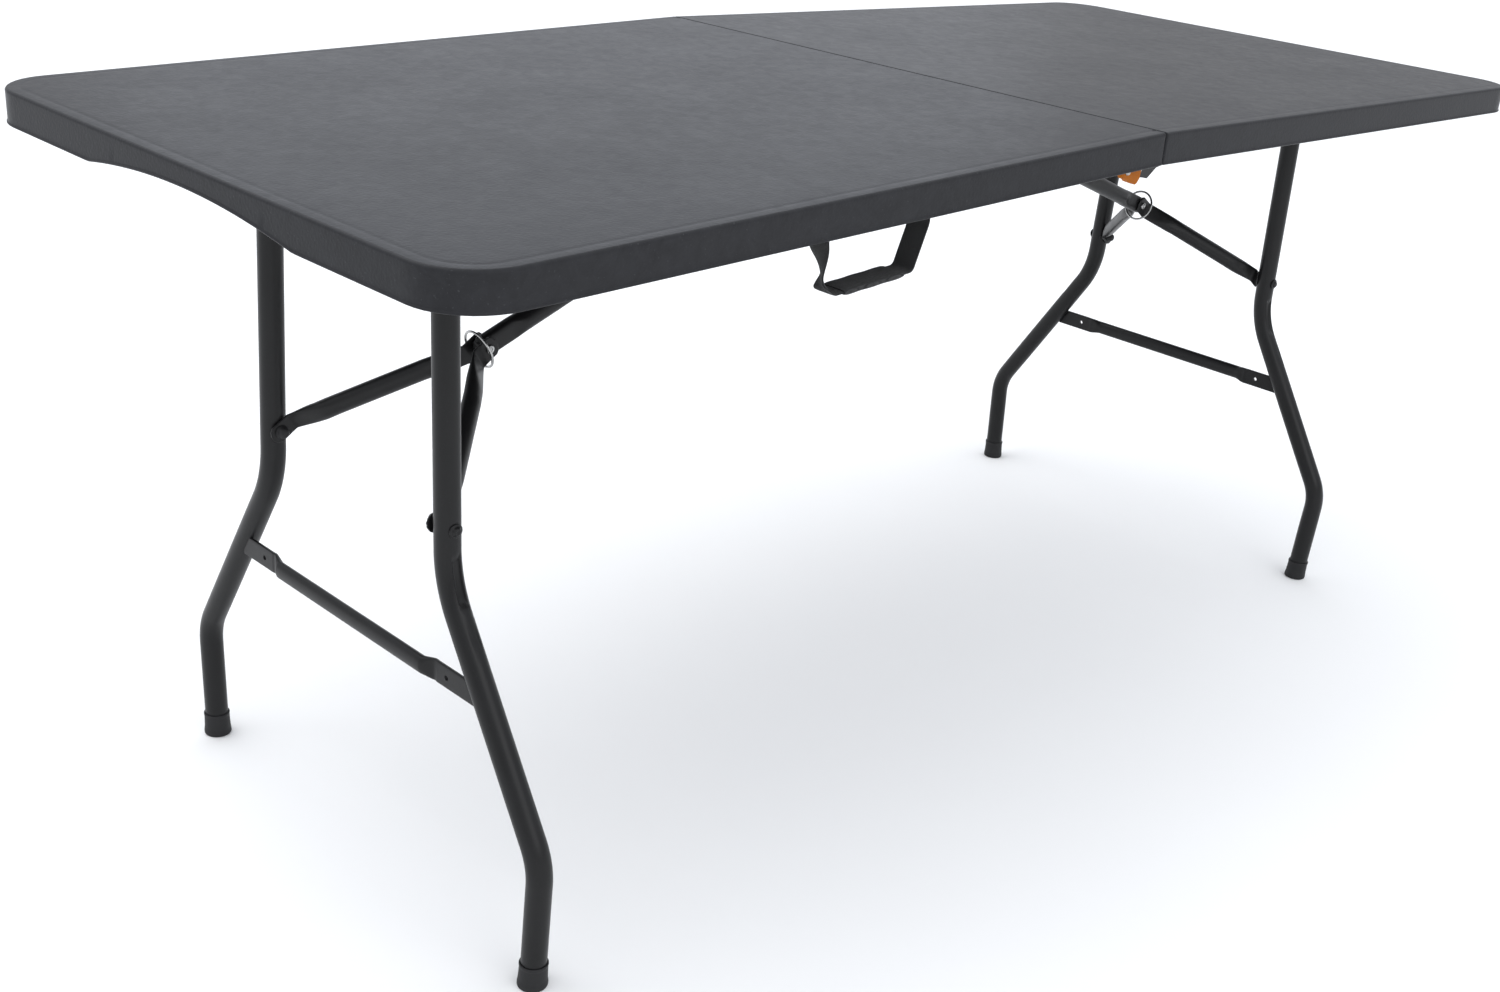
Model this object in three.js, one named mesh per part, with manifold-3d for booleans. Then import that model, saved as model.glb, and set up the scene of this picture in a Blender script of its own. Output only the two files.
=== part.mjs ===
// Fold-in-half banquet table, 1.8 m long, standing open on its two leg frames.
// Millimetres, +Z up, +X along the length, origin on the floor under the middle.
//
// Each half of the table is drawn in its own frame: u runs outward from the centre hinge
// axis, y is the table's y, and a depth d is measured down from the half's top surface.
// The left half is the right half turned by 180 degrees about Z.

import * as THREE from 'three';
import { mergeVertices } from 'three/addons/utils/BufferGeometryUtils.js';
import Module from 'manifold-3d';

const wasm = await Module();
wasm.setup();

// ---- driving dimensions -------------------------------------------------------------

const CAMBER = THREE.MathUtils.degToRad(1.15); // each half slopes down outward from the seam
const HINGE_Z = 716; // height of the centre hinge axis
const HINGE_DEPTH = 43.5; // hinge axis below the top surface

const HALF_LENGTH = 899.3;
const TOP_WIDTH = 750;
const DECK = 6; // thickness of the table deck
const SKIRT = 34; // depth of the rim
const SKIRT_WALL = 9;
const SEAM_WALL = 6.5;
const SEAM_SETBACK = 0.15; // half the seam's gap, at the level of the hinge axis
const CORNER_RADIUS = 60;
const EDGE_ROUND = 4;
const ARCH_SPAN = 332; // shallow arch in the end rim
const ARCH_RISE = 14;

const LEG_PIVOT = { u: 734.7, d: 28 };
const LEG_RADIUS = 12.7;
const LEG_BORE = 11.2;
const LEG_ROUTE = [[138.4, 13.2], [148, 347], [293.4, 579.5], [288.2, 706]]; // |y|, drop
const LEG_BENDS = [0, 125, 70, 0];
const FOOT = { radius: 14, height: 27, wall: 6 };

const STRETCHER = { drop: 441, offset: 10.1, flatOffset: 6, thick: 10.8, tall: 20, flat: 65 };
const PIVOT_TUBE_END = 338.4;
const PIVOT_STUB_RADIUS = 8;

const RAIL = { y: 338, sheet: 2.2, flange: 18, top: 6.4, bottom: 32, start: 32, end: 778 };
const BRACKET = { y: 334.6, thick: 3, from: 704, to: 766, top: 9, bottom: 42 };

const LINK_PIVOT = { u: 24, d: 21.2 };
const LINK_LENGTH = 599.306;
const ARM_LENGTH = 180.734;
const ARM_PIVOT_DROP = 292; // along the leg, from its pivot
const BRACE_RADIUS = 11;
const ELBOW_HALF_WIDTH = 7; // of the link's flattened end
const ARM_PLATE = { inner: 7.4, thick: 2.8, half: 9.5 };
const ARM_FOOT_Y = 131; // middle of the arm's flattened end at the leg
const RIVET_RADIUS = 3;
const RING = { radius: 20.4, wire: 1.7, past: 6 };

const CLEAR = 0.3; // gap between touching pieces

const X = new THREE.Vector3(1, 0, 0);
const Y = new THREE.Vector3(0, 1, 0);

// ---- materials ------------------------------------------------------------------------

const finish = (color, roughness, metalness) => () =>
  new THREE.MeshStandardMaterial({ color, roughness, metalness });
const greyPlastic = finish(0x52545a, 0.55, 0);
const paintedSteel = finish(0x2f3033, 0.42, 0.3);
const blackPlastic = finish(0x151515, 0.6, 0);
const brightSteel = finish(0xc8c8c8, 0.22, 1);
const orangePlastic = finish(0xd9791f, 0.45, 0);
const webbing = finish(0x1a1a1b, 0.9, 0);

// ---- solids ---------------------------------------------------------------------------

function solid(geometry) {
  const bare = geometry.index ? geometry.toNonIndexed() : geometry.clone();
  bare.deleteAttribute('normal');
  bare.deleteAttribute('uv');
  const merged = mergeVertices(bare, 1e-3);
  return new wasm.Manifold(new wasm.Mesh({
    numProp: 3,
    vertProperties: new Float32Array(merged.attributes.position.array),
    triVerts: new Uint32Array(merged.index.array),
  }));
}

function geometryOf(manifold) {
  const mesh = manifold.getMesh();
  const geometry = new THREE.BufferGeometry();
  geometry.setAttribute('position', new THREE.BufferAttribute(mesh.vertProperties, 3));
  geometry.setIndex(new THREE.BufferAttribute(mesh.triVerts, 1));
  return geometry;
}

const cut = (base, ...tools) =>
  geometryOf(tools.reduce((left, tool) => left.subtract(solid(tool)), solid(base)));
const join = (first, ...others) =>
  geometryOf(others.reduce((whole, other) => whole.add(solid(other)), solid(first)));

function box(x0, x1, y0, y1, z0, z1) {
  const geometry = new THREE.BoxGeometry(x1 - x0, y1 - y0, z1 - z0);
  return geometry.translate((x0 + x1) / 2, (y0 + y1) / 2, (z0 + z1) / 2);
}

// A round bar along Y from y0 to y1, with its axis through (x, z).
function barY(radius, y0, y1, x = 0, z = 0, sides = 20) {
  const geometry = new THREE.CylinderGeometry(radius, radius, y1 - y0, sides);
  return geometry.translate(x, (y0 + y1) / 2, z);
}

// A plate in the XZ plane: shape's x is X and its y is Z, thickness from y0 to y1.
function plateXZ(shape, y0, y1, curveSegments = 8) {
  const geometry = new THREE.ExtrudeGeometry(shape, {
    depth: y1 - y0, bevelEnabled: false, curveSegments,
  });
  return geometry.rotateX(Math.PI / 2).translate(0, y1, 0);
}

function roundedOutline(x0, x1, y0, y1, radii) {
  const [bottomLeft, bottomRight, topRight, topLeft] = radii;
  const shape = new THREE.Shape();
  shape.moveTo(x0 + bottomLeft, y0);
  shape.lineTo(x1 - bottomRight, y0);
  if (bottomRight) shape.absarc(x1 - bottomRight, y0 + bottomRight, bottomRight, -Math.PI / 2, 0);
  shape.lineTo(x1, y1 - topRight);
  if (topRight) shape.absarc(x1 - topRight, y1 - topRight, topRight, 0, Math.PI / 2);
  shape.lineTo(x0 + topLeft, y1);
  if (topLeft) shape.absarc(x0 + topLeft, y1 - topLeft, topLeft, Math.PI / 2, Math.PI);
  shape.lineTo(x0, y0 + bottomLeft);
  if (bottomLeft) shape.absarc(x0 + bottomLeft, y0 + bottomLeft, bottomLeft, Math.PI, Math.PI * 1.5);
  return shape;
}

// A path of straight runs joined by arcs, visited station by station, so that an
// extrusion along it steps only where the path bends.
class BentPath extends THREE.Curve {
  constructor(corners, radii, arcSteps) {
    super();
    this.stations = [];
    corners.forEach((corner, i) => {
      if (!radii[i]) return this.stations.push(corner.clone());
      const back = corners[i - 1].clone().sub(corner).normalize();
      const ahead = corners[i + 1].clone().sub(corner).normalize();
      const half = back.angleTo(ahead) / 2;
      const centre = back.clone().add(ahead).normalize()
        .multiplyScalar(radii[i] / Math.sin(half)).add(corner);
      const reach = radii[i] / Math.tan(half);
      const from = back.multiplyScalar(reach).add(corner).sub(centre);
      const to = ahead.multiplyScalar(reach).add(corner).sub(centre);
      const axis = from.clone().cross(to).normalize();
      for (let k = 0; k <= arcSteps; k += 1) {
        const turn = (k / arcSteps) * from.angleTo(to);
        this.stations.push(from.clone().applyAxisAngle(axis, turn).add(centre));
      }
      return undefined;
    });
  }

  getPoint(t, target = new THREE.Vector3()) {
    const place = t * (this.stations.length - 1);
    const i = Math.min(Math.floor(place), this.stations.length - 2);
    return target.lerpVectors(this.stations[i], this.stations[i + 1], place - i);
  }

  getUtoTmapping(u) {
    return u;
  }
}

function sweep(section, path) {
  return new THREE.ExtrudeGeometry(section, {
    extrudePath: path, steps: path.stations.length - 1, curveSegments: 8,
  });
}

// A tube whose section changes from station to station. Each station gives its place
// along the tube, its centre's offset across it, the section's half width across and half
// height, and how square the section is (1 is round, towards 0 is flat sided).
function formedTube(stations, along, across, sides = 16) {
  const rows = stations.length - 1;
  const up = across.clone().cross(along);
  const geometry = new THREE.CylinderGeometry(1, 1, 1, sides, rows);
  const position = geometry.attributes.position;
  const squared = (value, power) => Math.sign(value) * Math.abs(value) ** power;
  for (let i = 0; i < position.count; i += 1) {
    const s = stations[Math.round((position.getY(i) + 0.5) * rows)];
    const a = squared(position.getX(i), s.power) * s.halfWidth + s.offset;
    const b = squared(position.getZ(i), s.power) * s.halfHeight;
    const point = along.clone().multiplyScalar(s.at);
    point.addScaledVector(across, a).addScaledVector(up, b);
    position.setXYZ(i, point.x, point.y, point.z);
  }
  return geometry;
}

// ---- the table as a tree of groups ------------------------------------------------------

const table = new THREE.Group();

function add(group, name, geometry, material) {
  const mesh = new THREE.Mesh(geometry, material());
  mesh.name = name;
  group.add(mesh);
}

// Height in a half's frame (zero at the hinge axis) of a depth below the top.
const level = (depth) => HINGE_DEPTH - depth;

// The place in the upright frame of a point of a half.
function upright(u, d) {
  const h = level(d);
  return {
    x: u * Math.cos(CAMBER) + h * Math.sin(CAMBER),
    z: HINGE_Z - u * Math.sin(CAMBER) + h * Math.cos(CAMBER),
  };
}

function tableHalf(side) {
  const whole = new THREE.Group();
  whole.rotation.z = side === 'right' ? 0 : Math.PI;
  table.add(whole);

  const half = new THREE.Group();
  half.position.z = HINGE_Z;
  half.rotation.y = CAMBER;
  whole.add(half);

  // The two long sides, by their names on the whole table and their sign in this half.
  const sides = side === 'right' ? [['front', -1], ['back', 1]] : [['front', 1], ['back', -1]];
  return { side, whole, half, sides };
}

// ---- table top ---------------------------------------------------------------------------

function topPanel() {
  const edge = TOP_WIDTH / 2;
  const overrun = 20; // past the seam, cut off afterwards
  const outline = roundedOutline(-overrun, HALF_LENGTH, -edge, edge,
    [0, CORNER_RADIUS, CORNER_RADIUS, 0]);
  const body = new THREE.ExtrudeGeometry(outline, {
    depth: SKIRT - 2 * EDGE_ROUND, curveSegments: 10, bevelEnabled: true, bevelSegments: 3,
    bevelSize: EDGE_ROUND, bevelThickness: EDGE_ROUND, bevelOffset: -EDGE_ROUND,
  }).translate(0, 0, level(SKIRT) + EDGE_ROUND);

  const inner = CORNER_RADIUS - SKIRT_WALL;
  const hollow = roundedOutline(SEAM_SETBACK + SEAM_WALL, HALF_LENGTH - SKIRT_WALL,
    SKIRT_WALL - edge, edge - SKIRT_WALL, [4, inner, inner, 4]);
  const recess = new THREE.ExtrudeGeometry(hollow, {
    depth: SKIRT, curveSegments: 10, bevelEnabled: false,
  }).translate(0, 0, level(DECK) - SKIRT);

  const seam = box(-2 * overrun, SEAM_SETBACK, -edge - 5, edge + 5, -20, HINGE_DEPTH + 5);
  return cut(body, recess, seam, endArch());
}

// The shallow arch under the end rim, as a bar of circular section laid along u.
function endArch() {
  const radius = (ARCH_SPAN ** 2 / 4 + ARCH_RISE ** 2) / (2 * ARCH_RISE);
  const sweepAngle = Math.asin(ARCH_SPAN / 2 / radius);
  const drop = 4; // below the rim's lower edge
  const shape = new THREE.Shape();
  shape.moveTo(ARCH_SPAN / 2, -drop);
  shape.absarc(0, ARCH_RISE - radius, radius, Math.PI / 2 - sweepAngle, Math.PI / 2 + sweepAngle);
  shape.lineTo(-ARCH_SPAN / 2, -drop);
  const bar = new THREE.ExtrudeGeometry(shape, {
    depth: 2 * SKIRT_WALL, bevelEnabled: false, curveSegments: 8,
  });
  bar.rotateX(Math.PI / 2).rotateZ(Math.PI / 2);
  return bar.translate(HALF_LENGTH - 1.5 * SKIRT_WALL, 0, level(SKIRT));
}

// ---- steel under the top -------------------------------------------------------------------

// An angle rail: an upright web with a flange along its top, towards the middle.
function sideRail(sign) {
  const { y, sheet, flange, top, bottom, start, end } = RAIL;
  const outer = y + sheet;
  const web = box(start, end, y, outer, level(bottom), level(top));
  const lip = box(start, end, y - flange, y + sheet / 2, level(top + sheet), level(top));
  const rail = join(web, lip);
  return sign > 0 ? rail : rail.rotateZ(Math.PI).translate(start + end, 0, 0);
}

// The ear that holds one end of the leg frame's pivot tube.
function pivotBracket(sign) {
  const { y, thick, from, to, top, bottom } = BRACKET;
  const shape = roundedOutline(from, to, level(bottom), level(top), [14, 14, 3, 3]);
  const hole = new THREE.Path();
  hole.absarc(LEG_PIVOT.u, level(LEG_PIVOT.d), PIVOT_STUB_RADIUS + CLEAR, 0, 2 * Math.PI, true);
  shape.holes.push(hole);
  const near = sign > 0 ? y : -y - thick;
  return plateXZ(shape, near, near + thick);
}

// The bracket under the deck that carries the inner end of the brace.
function linkBracket() {
  const top = level(DECK + CLEAR);
  const { u, d } = LINK_PIVOT;
  const inner = BRACE_RADIUS + 0.6;
  const outer = inner + 2.4;
  const back = 8.3;
  const ear = roundedOutline(back, u + 12, level(d + 10), top, [3, 10, 0, 0]);
  const hole = new THREE.Path();
  hole.absarc(u, level(d), RIVET_RADIUS + CLEAR, 0, Math.PI * 2, true);
  ear.holes.push(hole);
  const pieces = [box(back, back + 2, -inner - 0.1, inner + 0.1, level(d + 10), top)];
  for (const sign of [-1, 1]) {
    const near = sign > 0 ? inner : -outer;
    pieces.push(plateXZ(ear, near, near + outer - inner));
    const foot = sign > 0 ? [outer - 0.5, outer + 14] : [-outer - 14, 0.5 - outer];
    pieces.push(box(back, u + 12, ...foot, top - 2, top));
  }
  return join(...pieces);
}

// A rivet along Y through the middle, with a low round head at each end.
function rivet(shank, halfLength, headRadius, headHeight) {
  const half = [
    [0, 0], [shank, 0], [shank, halfLength], [headRadius, halfLength],
    [headRadius * 0.85, halfLength + headHeight * 0.6], [headRadius * 0.4, halfLength + headHeight],
    [0, halfLength + headHeight],
  ].map(([r, y]) => new THREE.Vector2(r, y));
  const mirrored = half.slice(1).reverse().map(({ x, y }) => new THREE.Vector2(x, -y));
  return new THREE.LatheGeometry([...mirrored, ...half.slice(1)], 16);
}

function addTopAndRails({ side, half, sides }) {
  add(half, `${side}_top`, topPanel(), greyPlastic);
  for (const [place, sign] of sides) {
    add(half, `${side}_${place}_rail`, sideRail(sign), paintedSteel);
    add(half, `${side}_${place}_pivot_bracket`, pivotBracket(sign), paintedSteel);
  }
  add(half, `${side}_link_bracket`, linkBracket(), paintedSteel);
  const pin = rivet(RIVET_RADIUS, BRACE_RADIUS + 3.3, 6, 2.5);
  pin.translate(LINK_PIVOT.u, 0, level(LINK_PIVOT.d));
  add(half, `${side}_link_pin`, pin, brightSteel);
}

// ---- leg frame ---------------------------------------------------------------------------

const tubeSection = (outer, inner) => {
  const shape = new THREE.Shape();
  shape.absarc(0, 0, outer, 0, Math.PI * 2, false);
  if (inner) shape.holes.push(new THREE.Path().absarc(0, 0, inner, 0, Math.PI * 2, true));
  return shape;
};

function legPath(sign) {
  const corners = LEG_ROUTE.map(([y, drop]) => new THREE.Vector3(0, sign * y, -drop));
  return new BentPath(corners, LEG_BENDS, 5);
}

const leg = (sign) => sweep(tubeSection(LEG_RADIUS, LEG_BORE), legPath(sign));

// Cross tube of the leg frame, turning on two stubs in the pivot brackets.
function pivotTube() {
  const end = PIVOT_TUBE_END - 4.1;
  const stub = end + 0.2 + BRACKET.thick;
  const plug = 15; // solid length at each end of the tube
  const bar = join(barY(LEG_RADIUS, -end, end), barY(PIVOT_STUB_RADIUS, -stub, stub));
  const bore = barY(LEG_BORE, plug - end, end - plug);
  return cut(bar, bore, barY(PIVOT_STUB_RADIUS - 2, -stub - 1, stub + 1));
}

// Oval cross brace between the legs, pressed flat where it meets them.
function stretcher() {
  const reach = 206;
  const { drop, offset, flatOffset, thick, tall, flat } = STRETCHER;
  const round = { offset: 0, halfWidth: thick / 2, halfHeight: tall / 2, power: 1 };
  const pressed = { offset: flatOffset - offset, halfWidth: 2.4, halfHeight: tall / 2 + 1, power: 0.45 };
  const stations = [
    { ...pressed, at: -reach }, { ...pressed, at: flat - reach }, { ...round, at: flat + 16 - reach },
    { ...round, at: reach - flat - 16 }, { ...pressed, at: reach - flat }, { ...pressed, at: reach },
  ];
  const bar = formedTube(stations, Y, X).translate(offset, 0, -drop);
  const clearance = tubeSection(LEG_RADIUS + CLEAR);
  return cut(bar, sweep(clearance, legPath(1)), sweep(clearance, legPath(-1)));
}

// Cap over the end of a leg, flat on the floor.
function foot(sign, pivotHeight) {
  const { radius, height, wall } = FOOT;
  const [, , knee, end] = LEG_ROUTE;
  const lean = Math.atan2(knee[0] - end[0], end[1] - knee[1]);
  const profile = [
    [0, -10], [radius + 1, -10], [radius + 1, 3], [radius, 8], [radius - 0.4, height - 1],
    [radius - 1, height], [LEG_RADIUS + CLEAR, height], [LEG_RADIUS + CLEAR, wall], [0, wall],
  ].map(([r, z]) => new THREE.Vector2(r, z));
  const cap = new THREE.LatheGeometry(profile, 24).rotateX(Math.PI / 2 - sign * lean);
  const toFloor = end[0] - (pivotHeight - end[1]) * Math.tan(lean);
  cap.translate(0, sign * toFloor, -pivotHeight);
  return cut(cap, box(-40, 40, -400, 400, -pivotHeight - 40, -pivotHeight));
}

// Raised ring and rivet head on the outer face of a leg, at the brace pivot.
function legRivet(sign) {
  const profile = [[0, 0], [6.8, 0], [6.8, 1.4], [5, 2], [3.6, 3.2], [0, 3.8]]
    .map(([r, y]) => new THREE.Vector2(r, y));
  const head = new THREE.LatheGeometry(profile, 16);
  if (sign < 0) head.rotateX(Math.PI);
  const [top, bend] = LEG_ROUTE;
  const share = (ARM_PIVOT_DROP - top[1]) / (bend[1] - top[1]);
  const face = top[0] + share * (bend[0] - top[0]) + LEG_RADIUS + CLEAR;
  return head.translate(0, sign * face, -ARM_PIVOT_DROP);
}

function addLegFrame({ side, whole, sides }) {
  const pivot = upright(LEG_PIVOT.u, LEG_PIVOT.d);
  const frame = new THREE.Group();
  frame.position.set(pivot.x, 0, pivot.z);
  whole.add(frame);
  add(frame, `${side}_pivot_tube`, pivotTube(), paintedSteel);
  add(frame, `${side}_stretcher`, stretcher(), paintedSteel);
  for (const [place, sign] of sides) {
    add(frame, `${side}_${place}_leg`, leg(sign), paintedSteel);
    add(frame, `${side}_${place}_foot`, foot(sign, pivot.z), blackPlastic);
    add(frame, `${side}_${place}_leg_rivet`, legRivet(sign), paintedSteel);
  }
}

// ---- brace -------------------------------------------------------------------------------

// The elbow lies above the straight line between the brace's two end pivots.
function elbowAngles() {
  const near = upright(LINK_PIVOT.u, LINK_PIVOT.d);
  const pivot = upright(LEG_PIVOT.u, LEG_PIVOT.d);
  const far = { x: pivot.x, z: pivot.z - ARM_PIVOT_DROP };
  const span = Math.hypot(far.x - near.x, far.z - near.z);
  const slope = Math.atan2(near.z - far.z, far.x - near.x);
  const cosine = (LINK_LENGTH ** 2 + span ** 2 - ARM_LENGTH ** 2) / (2 * LINK_LENGTH * span);
  const down = slope - Math.acos(cosine);
  const elbow = {
    x: near.x + LINK_LENGTH * Math.cos(down), z: near.z - LINK_LENGTH * Math.sin(down),
  };
  return { near, elbow, linkDown: down, armDown: Math.atan2(elbow.z - far.z, far.x - elbow.x) };
}

function link() {
  const round = { offset: 0, halfWidth: BRACE_RADIUS, halfHeight: BRACE_RADIUS, power: 1 };
  const pressed = { ...round, halfWidth: ELBOW_HALF_WIDTH, power: 0.6 };
  const tip = { ...pressed, halfHeight: 7 };
  const stations = [
    { ...round, at: -9, halfHeight: 7 }, { ...round, at: -5 }, { ...round, at: LINK_LENGTH - 48 },
    { ...pressed, at: LINK_LENGTH - 32 }, { ...pressed, at: LINK_LENGTH + 4 },
    { ...tip, at: LINK_LENGTH + 9 },
  ];
  const bore = barY(BRACE_RADIUS - 1.5, 0, LINK_LENGTH - 40, 0, 0, 16).rotateZ(-Math.PI / 2);
  const hole = RIVET_RADIUS + CLEAR;
  return cut(formedTube(stations, X, Y), bore.translate(-20, 0, 0),
    barY(hole, -20, 20), barY(hole, -20, 20, LINK_LENGTH));
}

// One arm of the fork between elbow and leg: two flat ends, and a tube slanting outward.
function arm(sign) {
  const { inner, thick, half } = ARM_PLATE;
  const plate = { halfWidth: thick / 2, halfHeight: half, power: 0.45 };
  const elbowSide = { ...plate, offset: sign * (inner + thick / 2) };
  const legSide = { ...plate, offset: sign * ARM_FOOT_Y };
  const tube = { halfWidth: BRACE_RADIUS, halfHeight: BRACE_RADIUS, power: 1 };
  const stations = [
    { ...elbowSide, at: -9, halfHeight: 5.5 }, { ...elbowSide, at: -5 }, { ...elbowSide, at: 16 },
    { ...tube, at: 52, offset: sign * 40 }, { ...tube, at: ARM_LENGTH - 42, offset: sign * 107 },
    { ...legSide, at: ARM_LENGTH - 14 }, { ...legSide, at: ARM_LENGTH + 6 },
    { ...legSide, at: ARM_LENGTH + 11, halfHeight: 5.5 },
  ];
  const hole = RIVET_RADIUS + CLEAR;
  const reach = sign > 0 ? [0, 20] : [-20, 0];
  return cut(formedTube(stations, X, Y), barY(hole, ...reach));
}

// Domed nut on the inner face of an arm's flat end, over the leg.
function capNut(sign) {
  const profile = [[0, 0], [7, 0], [7, 1.4], [5.8, 1.7], [5.8, 4.6], [4.4, 6.6], [0, 7.8]]
    .map(([r, y]) => new THREE.Vector2(r, y));
  const nut = new THREE.LatheGeometry(profile, 16);
  if (sign > 0) nut.rotateX(Math.PI);
  const face = ARM_FOOT_Y - ARM_PLATE.thick / 2 - CLEAR;
  return nut.translate(ARM_LENGTH, sign * face, 0);
}

function lockRing() {
  const torus = new THREE.TorusGeometry(RING.radius, RING.wire, 8, 28);
  return torus.rotateY(Math.PI / 2).translate(LINK_LENGTH + RING.past, 0, 0);
}

function addBrace({ side, whole, sides }) {
  const { near, elbow, linkDown, armDown } = elbowAngles();
  const upper = new THREE.Group();
  upper.position.set(near.x, 0, near.z);
  upper.rotation.y = linkDown;
  whole.add(upper);
  add(upper, `${side}_link`, link(), paintedSteel);
  add(upper, `${side}_lock_ring`, lockRing(), brightSteel);
  const outerFace = ARM_PLATE.inner + ARM_PLATE.thick + CLEAR;
  const elbowRivet = rivet(RIVET_RADIUS, outerFace, 6.5, 2.4).translate(LINK_LENGTH, 0, 0);
  add(upper, `${side}_elbow_rivet`, elbowRivet, brightSteel);

  const fork = new THREE.Group();
  fork.position.set(elbow.x, 0, elbow.z);
  fork.rotation.y = armDown;
  whole.add(fork);
  for (const [place, sign] of sides) {
    add(fork, `${side}_${place}_arm`, arm(sign), paintedSteel);
    add(fork, `${side}_${place}_cap_nut`, capNut(sign), blackPlastic);
  }
}

// ---- centre hinges and latches --------------------------------------------------------------

const KNUCKLE = { radius: 9, pin: 3.5, leftY: 340.6, rightY: 343.5, thick: 2.6, length: 60 };

// A hinge leaf: an eye on the axis with a plate that tapers away along its half. The lobe
// is how far the plate's lower edge drops below the eye.
function hingeLeaf(lobe) {
  const { radius, pin, length } = KNUCKLE;
  const shape = new THREE.Shape();
  shape.moveTo(0, -radius);
  shape.lineTo(12, -radius - lobe / 2);
  shape.lineTo(21, -radius - lobe);
  shape.lineTo(36, -2);
  shape.lineTo(length, 2);
  shape.lineTo(length, 20);
  shape.lineTo(10, 20);
  shape.lineTo(8.5, 8.2);
  shape.lineTo(4, 8);
  shape.absarc(0, 0, radius, Math.PI * 0.36, Math.PI * 1.5, false);
  shape.holes.push(new THREE.Path().absarc(0, 0, pin + CLEAR, 0, Math.PI * 2, true));
  return shape;
}

function hingePin(place) {
  const front = place === 'front' ? -1 : 1;
  const { pin, leftY, rightY, thick } = KNUCKLE;
  const from = leftY - CLEAR;
  const to = rightY + thick + CLEAR;
  const profile = [
    [0, from - 2.5], [5.5, from - 2.5], [6.5, from - 1.5], [6.5, from], [pin, from],
    [pin, to], [6, to], [6, to + 1.2], [5, to + 2], [0, to + 2],
  ].map(([r, y]) => new THREE.Vector2(r, y));
  const lathe = new THREE.LatheGeometry(profile, 16);
  if (front < 0) lathe.rotateX(Math.PI);
  return lathe.translate(0, 0, HINGE_Z);
}

// Thumb latch beside the front or back hinge: hub, thumb tab below, nose towards the axis.
const LATCH = { hubX: -36, hubZ: 719, inner: 349.6, thick: 7, hub: 8.5, pin: 2.6 };

function latchShape() {
  const shape = new THREE.Shape();
  shape.moveTo(0, -LATCH.hub);
  shape.lineTo(4, -11.5);
  shape.lineTo(17.8, -15.7);
  shape.lineTo(21, -14.6);
  shape.lineTo(25, -9.5);
  shape.lineTo(26.5, 2);
  shape.lineTo(23, 5);
  shape.lineTo(15, 5);
  shape.lineTo(0, LATCH.hub);
  shape.absarc(0, 0, LATCH.hub, Math.PI / 2, Math.PI * 1.5, false);
  shape.holes.push(new THREE.Path().absarc(0, 0, LATCH.pin + CLEAR, 0, Math.PI * 2, true));
  return shape;
}

function latchPin(place) {
  const sign = place === 'front' ? -1 : 1;
  const from = KNUCKLE.leftY + KNUCKLE.thick + CLEAR;
  const to = LATCH.inner + LATCH.thick + CLEAR;
  const profile = [
    [0, from], [4.6, from], [4.6, LATCH.inner - CLEAR], [LATCH.pin, LATCH.inner - CLEAR],
    [LATCH.pin, to], [4.2, to], [3.4, to + 1.6], [0, to + 1.6],
  ].map(([r, y]) => new THREE.Vector2(r, y));
  const lathe = new THREE.LatheGeometry(profile, 16);
  if (sign < 0) lathe.rotateX(Math.PI);
  return lathe.translate(LATCH.hubX, 0, LATCH.hubZ);
}

function addCentreHinges() {
  const { leftY, rightY, thick } = KNUCKLE;
  for (const place of ['front', 'back']) {
    const sign = place === 'front' ? -1 : 1;
    const span = (y, depth) => (sign > 0 ? [y, y + depth] : [-y - depth, -y]);
    for (const [side, turn, y, lobe] of [['left', -1, leftY, -2], ['right', 1, rightY, 3.3]]) {
      const leaf = plateXZ(hingeLeaf(lobe), ...span(y, thick));
      if (turn < 0) leaf.rotateZ(Math.PI).translate(0, 2 * sign * (y + thick / 2), 0);
      leaf.rotateY(turn * CAMBER).translate(0, 0, HINGE_Z);
      add(table, `${place}_hinge_${side}_leaf`, leaf, paintedSteel);
    }
    add(table, `${place}_hinge_pin`, hingePin(place), brightSteel);
    const latch = plateXZ(latchShape(), ...span(LATCH.inner, LATCH.thick));
    add(table, `${place}_latch`, latch.translate(LATCH.hubX, 0, LATCH.hubZ), orangePlastic);
    add(table, `${place}_latch_pin`, latchPin(place), brightSteel);
  }
}

// ---- carry handle ----------------------------------------------------------------------------

const STRAP = { width: 24, thick: 2.6, y: -352.6, swingZ: 709.3 };
const STRAP_LOOP = [[-502, 709], [-489, 661], [-383, 667], [-367, 709]];
const GRIP = { width: 28.4, thick: 6.4, from: 0.14, to: 0.86 }; // shares of the loop's foot

// A flat band of the given section swept along points in the XZ plane.
function band(halfWidth, halfThick, points, radius) {
  const corners = points.map(([x, z]) => new THREE.Vector3(x, STRAP.y, z));
  const radii = points.map((_, i) => (i > 0 && i < points.length - 1 ? radius : 0));
  const shape = roundedOutline(-halfWidth, halfWidth, -halfThick, halfThick, [0, 0, 0, 0]);
  return sweep(shape, new BentPath(corners, radii, 4));
}

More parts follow.
